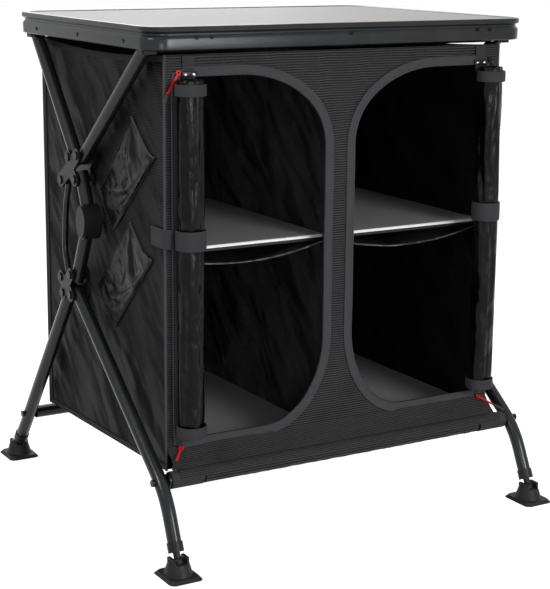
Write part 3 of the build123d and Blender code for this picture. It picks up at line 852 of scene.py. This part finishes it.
def backPoint(u, v):
    low, high = backForm["foldLimits"]
    x = cabinet["halfWidth"] * (2 * u - 1) * backForm["narrower"]
    z = cabinet["top"] + (inside["bottom"] - cabinet["top"]) * v
    slack = 0.0016 * ripple((x, z, 3.0), 0.09) + 0.0009 * ripple((x, z, 5.0), 0.03)
    slack = sum((ridge(x, z, *fold) for fold in backForm["folds"]), slack)
    return (x, backForm["y"] + max(low, min(high, slack)), z)


def makeBack():
    back = settledSheet(
        "backPanel", backForm["grid"], backPoint, backSpare, 1, backForm["y"], lambda z: backForm["limits"],
    )
    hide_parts("back_panel")
    hems = []
    for v in backForm["hemPlaces"]:
        path = walk(lambda u: backPoint(u, v), 60, (0, hemForm["lift"], 0))
        hems.append(strip("hem", path, backForm["hemWidth"], hemForm["thickness"], (0, 0, 1)))
    hem = finish(joinSmooth(hems, "backHems"), hemTape, "back_cloth")
    finish(back, sideCloth, "back_cloth")


def dividerPoint(u, v):
    y = -inside["halfDepth"] + 2 * inside["halfDepth"] * u
    z = inside["dividerTop"] + (inside["bottom"] - inside["dividerTop"]) * v
    wave = -sin(pi * inside["dividerFolds"] * u) * inside["dividerFold"]
    wave += 0.0008 * ripple((y, z, 1.0), 0.05)
    return (wave, y, z)


def makeDivider():
    limits = -inside["dividerLimit"], inside["dividerLimit"]
    divider = settledSheet(
        "dividerPanel", inside["dividerGrid"], dividerPoint, leanSpare, 0, 0.0, lambda z: limits,
    )
    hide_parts("divider_panel")
    finish(divider, innerClothPaintedLight, "cabinet", True)


def floorPoint(sign, u, v):
    x = sign * (inside["seam"] + (inside["outerX"] - inside["seam"]) * u)
    y = inside["halfDepth"] * (2 * v - 1)
    dip = 0.001 * ripple((x, y, 0.0), 0.06)
    return (x, y, inside["floorZ"] + min(0.0, dip))


def slingPoint(sign, u, v):
    x = sign * (inside["innerX"] + (inside["outerX"] - inside["innerX"]) * u)
    y = inside["boardDepth"] * (2 * v - 1)
    dip = inside["slingSag"] * (1 - (2 * u - 1) ** 2)
    dip += 0.0012 * sin(pi * u) * ripple((x, y, 0.0), 0.05)
    return (x, y, inside["slingTop"] - max(0.0004, dip))


def makeFloorAndSlings():
    floors, slings, slingHems = [], [], []
    for sign in (-1, 1):
        floors.append(gridPiece("floor", 36, 40, lambda u, v: floorPoint(sign, u, v)))
        slings.append(gridPiece("sling", 40, 40, lambda u, v: slingPoint(sign, u, v)))
        for v in (0.0, 1.0):
            path = walk(lambda u: slingPoint(sign, u, v), 40)
            slingHems.append(roundCord("hem", path, inside["slingHem"], 8))
    floor = join(floors, "floorCloth")
    thicken(floor, cabinet["thickness"])
    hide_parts("floor_cloth")
    finish(floor, floorClothSkin, "cabinet", True)
    sling = join(slings, "shelfSlings")
    thicken(sling, cabinet["thickness"])
    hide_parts("shelf_sling")
    slingHem = finish(join(slingHems, "slingHems"), innerClothPaintedLight, "cabinet", True)
    finish(sling, floorClothSkin, "cabinet", True)


makeBack()
makeDivider()
makeFloorAndSlings()
print("inside cloth done")

# rolled doors, each strap as height and width, each winding as share of the radius and dip
roll = {
    "x": 0.279, "y": -0.2557, "radius": 0.0212, "top": 0.742, "bottom": 0.193, "middleZ": 0.46,
    "straps": ((0.727, 0.017), (0.502, 0.03), (0.202, 0.017)),
    "waves": ((3, 0.0011), (5, 0.0009), (9, 0.0006), (14, 0.0003)), "pinch": 0.0013,
    "grid": (48, 64), "middle": 0.0196, "inward": -0.0045, "spare": 0.1, "spareHeight": 0.012,
    "bending": 0.4, "frames": 30,
    "windings": (
        (0.86, 0.0), (0.8, 0.003), (0.62, 0.003), (0.57, 0.0005),
        (0.4, 0.0005), (0.35, 0.004), (0.16, 0.004),
    ),
}


def rollRadius(angle, z, sign):
    height = (z - roll["bottom"]) / (roll["top"] - roll["bottom"])
    size = roll["radius"]
    for k, (count, depth) in enumerate(roll["waves"]):
        drift = 1.2 * noise.noise(Vector((k * 3.1 + sign, height * (1.2 + 0.7 * k), 0.5)))
        size += depth * sin(count * angle + 5 * drift + k)
    size -= 0.0012
    for strapZ, width in roll["straps"]:
        size -= roll["pinch"] * exp(-((z - strapZ) / (0.9 * width)) ** 2)
    return min(size, roll["radius"] + 0.0006)


def ringPoint(sign, size, angle, z):
    # a point round the roll's axis
    return (sign * roll["x"] + size * cos(angle), roll["y"] + size * sin(angle), z)


def rollSkin(sign):
    # cut wider than it is wound, the skin settles between its straps and its ends
    around, rows = roll["grid"]
    centreX, centreY, middle = sign * roll["x"], roll["y"], roll["middle"]

    def skinPoint(u, v):
        z = roll["bottom"] + (roll["top"] - roll["bottom"]) * v
        return ringPoint(sign, rollRadius(2 * pi * u, z, sign), 2 * pi * u, z)

    skin = gridPiece("skin", around, rows, skinPoint, closed=True)

    def spareAt(index, place):
        wide = roll["spare"]
        tall = roll["spareHeight"] * (place.z - roll["middleZ"])
        return (wide * (place.x - centreX), wide * (place.y - centreY), tall)

    held = []
    for index, vertex in enumerate(skin.data.vertices):
        strapped = any(abs(vertex.co.z - strapZ) < width / 2 for strapZ, width in roll["straps"])
        if strapped or index // around in (0, rows):
            held.append(index)
    settle(skin, held, spareAt, roll)
    points, faces = [], [tuple(face.vertices) for face in skin.data.polygons]
    for vertex in skin.data.vertices:
        x, y, z = vertex.co
        dx, dy = x - centreX, y - centreY
        size = hypot(dx, dy)
        kept = middle + softLimit(size - middle, roll["inward"], roll["radius"] + 0.0004 - middle)
        points.append((centreX + dx * kept / size, centreY + dy * kept / size, z))
    bpy.data.objects.remove(skin)
    return points, faces


def makeRoll(sign, side):
    around, rows = roll["grid"]
    centreX, centreY = sign * roll["x"], roll["y"]
    points, faces = rollSkin(sign)
    # each end shows the wound layers as rings that step in and out
    for end, way in ((0, 1), (rows, -1)):
        last = [end * around + i for i in range(around)]
        endRing = [points[i] for i in last]
        for share, dip in roll["windings"]:
            ring = []
            for x, y, z in endRing:
                ring.append(len(points))
                ringX, ringY = centreX + share * (x - centreX), centreY + share * (y - centreY)
                points.append((ringX, ringY, z + way * dip))
            for i in range(around):
                n = (i + 1) % around
                faces.append((last[i], last[n], ring[n], ring[i]))
            last = ring
        faces.append(tuple(last))
    piece = meshPiece("doorRoll" + side, points, faces)
    piece.modifiers.new("rounding", "SUBSURF").levels = 1
    applyAll(piece)
    outwards(piece)
    smoothShade(piece, 50.0)
    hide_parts("door_roll_" + side.lower())
    finish(piece, rollNylon, "front_cloth")


makeRoll(-1, "Left")
makeRoll(1, "Right")

# straps round the rolls, the section as rise and share of half the width
strap = {
    "radius": 0.0222,
    "section": ((0.0, -1), (0.0009, -0.94), (0.0011, 0.0), (0.0009, 0.94), (0.0, 1)), "around": 64,
    "waver": 0.0003, "thickness": 0.001,
}
# the tapes that hang from the top hem to the upper straps, as distance off the front and height
hanger = {
    "x": 0.272, "width": 0.02, "thickness": 0.0011,
    "path": ((0.0022, 0.7755), (0.0022, 0.765), (0.0022, 0.752), (0.0028, 0.744), (0.0026, 0.732)),
}
# the plate at the upper end of each zip, with its two rivets
zipEnd = {
    "place": (0.271, -0.2372, 0.7475), "size": (0.026, 0.003, 0.009), "edge": 0.0011,
    "rivet": 0.0027, "rivetFlat": 0.45, "pitch": 0.014,
}
# the middle strap on the side panel, as distance outside the panel and depth
strapEnd = {
    "out": 0.003, "thickness": 0.0013,
    "path": (
        (0.0, -0.19), (0.0, -0.2), (0.0, -0.212), (0.0, -0.224),
        (0.0004, -0.2345), (-0.002, -0.2385), (-0.009, -0.241),
    ),
}


def makeStraps():
    bands = []
    around = strap["around"]
    for sign in (-1, 1):
        for z, width in roll["straps"]:
            points = []
            for i in range(around):
                angle = 2 * pi * i / around
                waver = strap["waver"] * sin(3 * angle + z * 40)
                for rise, edge in strap["section"]:
                    size = strap["radius"] + rise + waver
                    points.append(ringPoint(sign, size, angle, z + edge * width / 2))
            band = meshPiece("band", points, bandFaces(around, len(strap["section"])))
            outwards(band)
            thicken(band, strap["thickness"])
            bands.append(band)
    straps = joinSmooth(bands, "rollStraps")
    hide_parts("roll_straps")
    finish(straps, strapTape, "front_cloth")


def makeHangers():
    path = [(hanger["x"], front["y"] - off, z) for off, z in hanger["path"]]
    hangers = stripPair("rollHangers", path, hanger["width"], hanger["thickness"], (1, 0, 0))
    finish(hangers, strapTape, "front_cloth")


def shapedPrimitive(size, spot, edge=0.0):
    # the primitive just added, resized, bevelled and moved in edit mode
    shape = bpy.context.object
    editWhole(shape)
    bpy.ops.transform.resize(value=size)
    if edge:
        bpy.ops.mesh.bevel(offset=edge, segments=3)
        bpy.ops.mesh.select_all(action="SELECT")
    bpy.ops.transform.translate(value=spot)
    leaveEdit()
    return shape


def makeZipEnds():
    x, y, z = zipEnd["place"]
    plates, rivets = [], []
    for sign in (-1, 1):
        bpy.ops.mesh.primitive_cube_add(size=1.0, location=(0.0, 0.0, 0.0))
        plates.append(shapedPrimitive(zipEnd["size"], (sign * x, y, z), zipEnd["edge"]))
        for along in (-0.5, 0.5):
            bpy.ops.mesh.primitive_uv_sphere_add(segments=20, ring_count=10, radius=zipEnd["rivet"])
            spot = (sign * x + along * zipEnd["pitch"], y - zipEnd["size"][1] / 2, z)
            rivets.append(shapedPrimitive((1.0, zipEnd["rivetFlat"], 1.0), spot))
    finish(joinSmooth(plates, "zipEndPlates"), zipBlack, "front_cloth")
    finish(joinSmooth(rivets, "zipEndRivets"), rivetSteel, "front_cloth")


def makeStrapEnds():
    # the middle strap is sewn to the side panel, and runs round the corner to the roll
    z, width = roll["straps"][1]
    path = [(cabinet["halfWidth"] + strapEnd["out"] + off, y, z) for off, y in strapEnd["path"]]
    ends = stripPair("strapEnds", path, width, strapEnd["thickness"], (0, 0, 1))
    finish(ends, strapTape, "cabinet", True)


makeStraps()
makeHangers()
makeZipEnds()
makeStrapEnds()
print("rolled doors done")

# the two pockets hang on the left side panel, corners as depth and height
pockets = {
    "Upper": ((-0.123, 0.676), (-0.203, 0.622), (-0.052, 0.486), (-0.004, 0.545)),
    "Lower": ((-0.114, 0.508), (-0.19, 0.46), (-0.052, 0.326), (0.012, 0.384)),
}
pocket = {
    "back": -0.3116, "mouth": 0.01, "belly": 0.01, "foot": 0.003, "stand": (0.0008, 0.0236),
    "inward": -0.001, "dip": 0.003, "gusset": 0.011, "hem": 0.0017, "seam": 0.0013,
    "thickness": 0.001, "grid": 40, "spare": 0.07, "pull": 0.4, "bending": 0.25, "frames": 30,
}


def makePocket(name, corners):
    mouthA, mouthB, footB, footA = [Vector(c) for c in corners]
    least, most = pocket["stand"]

    def depthAt(u, v):
        # how far the front of the bag stands off the panel
        stand = pocket["mouth"] + (pocket["foot"] - pocket["mouth"]) * v
        stand += pocket["belly"] * sin(pi * min(1.0, 1.15 * v)) ** 0.8 if v < 0.87 else 0.0
        across = sin(pi * min(1.0, max(0.0, u))) ** 0.45
        fine = 0.0012 * noise.noise(Vector((9 * u, 11 * v, len(name) + corners[0][1] * 20)))
        return max(least, min(most, across * (stand + fine)))

    def bagPoint(u, v):
        low = mouthB + (footB - mouthB) * v
        high = mouthA + (footA - mouthA) * v
        place = high + (low - high) * u
        place.y -= pocket["dip"] * sin(pi * u) * (1 - v) ** 2
        return (pocket["back"] - depthAt(u, v), place.x, place.y)

    count = pocket["grid"]
    bag = gridPiece("pocket" + name, count, count, bagPoint)
    centre = sum((vertex.co for vertex in bag.data.vertices), Vector()) / len(bag.data.vertices)

    def spareAt(index, place):
        # the bag is cut larger than its place, and its mouth is drawn in
        return (pocket["spare"] if index > 2 * count else 0.0) * (place - centre)

    held = [i for i in border(count, count) if i > count or i in (0, count)]
    settle(bag, held, spareAt, pocket, pocket["pull"])
    for vertex in bag.data.vertices:
        stand = pocket["back"] - vertex.co.x
        vertex.co.x = pocket["back"] - max(least, softLimit(stand, pocket["inward"], most))
    rows = [
        [bag.data.vertices[j * (count + 1) + i].co.copy() for i in range(count + 1)] for j in range(count + 1)
    ]
    sewn = [[row[0] for row in rows], [row[-1] for row in rows], rows[-1]]
    thicken(bag, pocket["thickness"], 1, angle=60.0)
    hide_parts("pocket_" + name.lower())
    hem = roundCord("pocketHem" + name, rows[0], pocket["hem"], 8)
    seams = [roundCord("seam", path, pocket["seam"], 8) for path in sewn]
    seam = join(seams, "pocketSeams" + name)
    finish(hem, pipingTape, "cabinet", True)
    finish(seam, pocketNylon, "cabinet", True)
    finish(bag, pocketNylon, "cabinet", True)


for pocketName, pocketCorners in pockets.items():
    makePocket(pocketName, pocketCorners)
print("pockets done")

# cloth sleeve and loops round the front bar
sleeve = {
    "radius": 0.0122, "loop": 0.054, "gap": 0.004, "thickness": 0.0012, "folds": 0.0012,
    "loopFolds": 0.0004, "loopRise": 0.0008, "step": 0.006,
}


def clothTube(name, start, stop, middle, extra, folds):
    # cloth round the bar from start to stop, middle gives the bar's depth and height
    steps = max(8, int((stop - start) / sleeve["step"]))

    def place(u, v):
        x = start + (stop - start) * v
        angle = 2 * pi * u
        size = sleeve["radius"] + extra
        size += folds * abs(noise.noise(Vector((x * 60, 2 * cos(angle), 2 * sin(angle)))))
        return (x, middle[0] + size * cos(angle), middle[1] + size * sin(angle))

    piece = gridPiece(name, 40, steps, place, closed=True)
    outwards(piece)
    thicken(piece, sleeve["thickness"], angle=60.0)
    return piece


def makeSleeves():
    low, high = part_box("bar_sleeves")
    middle = (low.y + high.y) / 2, (low.z + high.z) / 2
    end, loop = high.x, sleeve["loop"]
    inner = end - loop - sleeve["gap"]
    barSleeve = clothTube("barSleeve", -inner, inner, middle, 0.0, sleeve["folds"])
    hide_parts("bar_sleeves")
    finish(barSleeve, frontCloth, "front_legs")
    tubes = []
    for start, stop in ((-end, -end + loop), (end - loop, end)):
        tubes.append(clothTube("loop", start, stop, middle, sleeve["loopRise"], sleeve["loopFolds"]))
    loops = finish(joinSmooth(tubes, "barLoops", 60.0), strapTape, "front_legs")


makeSleeves()
print("sleeves done")

# studio: pale floor, soft lights and the photograph's camera
# each light as name, place, point it looks at, size in metres and power in watts
studio = {
    "camera": (-1.3393, -2.2992, 0.9488), "yaw": 30.59, "pitch": 12.98, "roll": 0.5, "lens": 101.8,
    "world": 0.32, "floorGrey": (0.35, 0.35, 0.35), "floorGlow": 0.95,
    "lights": (
        ("keyLight", (-2.3, -0.6, 2.2), (0.0, 0.0, 0.55), 0.7, 30.0),
        ("innerLight", (-1.5, -3.0, 0.9), (0.0, 0.0, 0.5), 0.6, 12.0),
        ("fillLight", (0.5, -3.0, 1.25), (0.0, 0.0, 0.4), 1.0, 52.0),
        ("topLight", (0.2, 0.3, 2.4), (0.0, 0.0, 0.8), 1.4, 22.0),
        ("backLight", (0.8, 2.2, 1.8), (0.0, 0.0, 0.5), 1.2, 16.0),
    ),
}


def makeCamera():
    yaw, pitch, tilt = radians(studio["yaw"]), radians(studio["pitch"]), radians(studio["roll"])
    aim = Matrix.Rotation(-yaw, 3, "Z") @ Matrix.Rotation(pi / 2 - pitch, 3, "X")
    turn = aim @ Matrix.Rotation(tilt, 3, "Z")
    data = bpy.data.cameras.new("photoCamera")
    data.sensor_fit = "HORIZONTAL"
    data.sensor_width = 36.0
    data.lens = studio["lens"]
    camera = addObject("photoCamera", data)
    camera.location = studio["camera"]
    camera.rotation_euler = turn.to_euler()
    bpy.context.scene.camera = camera


def whiteFromCamera(plain, bright):
    # the camera, and whatever mirrors or lets it through, sees the bright one
    tree = plain.id_data
    path = tree.nodes.new("ShaderNodeLightPath")
    seen = path.outputs["Is Camera Ray"]
    for ray in ("Is Glossy Ray", "Is Transmission Ray"):
        either = addNode("ShaderNodeMath", seen, {0: seen, 1: path.outputs[ray]})
        either.operation = "MAXIMUM"
        seen = either.outputs[0]
    return addNode("ShaderNodeMixShader", seen, {0: seen, 1: plain, 2: bright}).outputs[0]


def makeWorld():
    world = bpy.data.worlds.new("studioWorld")
    bpy.context.scene.world = world
    world.use_nodes = True
    nodes = world.node_tree.nodes
    soft, seen = nodes["Background"], nodes.new("ShaderNodeBackground")
    setInputs(soft, {"Color": (1.0, 1.0, 1.0, 1.0), "Strength": studio["world"]})
    setInputs(seen, {"Color": (1.0, 1.0, 1.0, 1.0), "Strength": 1.0})
    setInputs(nodes["World Output"], {"Surface": whiteFromCamera(soft.outputs[0], seen.outputs[0])})


def makeLights():
    for name, place, target, size, power in studio["lights"]:
        data = bpy.data.lights.new(name, "AREA")
        data.size = size
        data.energy = power
        lamp = addObject(name, data)
        lamp.location = place
        lamp.rotation_euler = (Vector(target) - Vector(place)).to_track_quat("-Z", "Y").to_euler()


def makeFloor():
    bpy.ops.mesh.primitive_plane_add(size=14.0, location=(0.0, 0.0, -0.0005))
    ground = bpy.context.object
    ground.name = "studioFloor"
    bpy.ops.object.transform_apply()
    material = bpy.data.materials.new("floorWhite")
    material.use_nodes = True
    nodes = material.node_tree.nodes
    shader = nodes["Principled BSDF"]
    setInputs(shader, {"Base Color": (*studio["floorGrey"], 1.0), "Roughness": 0.9})
    plain = shader.outputs[0]
    glow = addNode("ShaderNodeEmission", plain, {"Strength": studio["floorGlow"]})
    both = addNode("ShaderNodeAddShader", plain, {0: plain, 1: glow.outputs[0]})
    setInputs(nodes["Material Output"], {"Surface": whiteFromCamera(plain, both.outputs[0])})
    dress(ground, material)


makeCamera()
makeWorld()
makeLights()
makeFloor()
bpy.context.scene.view_settings.view_transform = "Standard"
print("studio done")
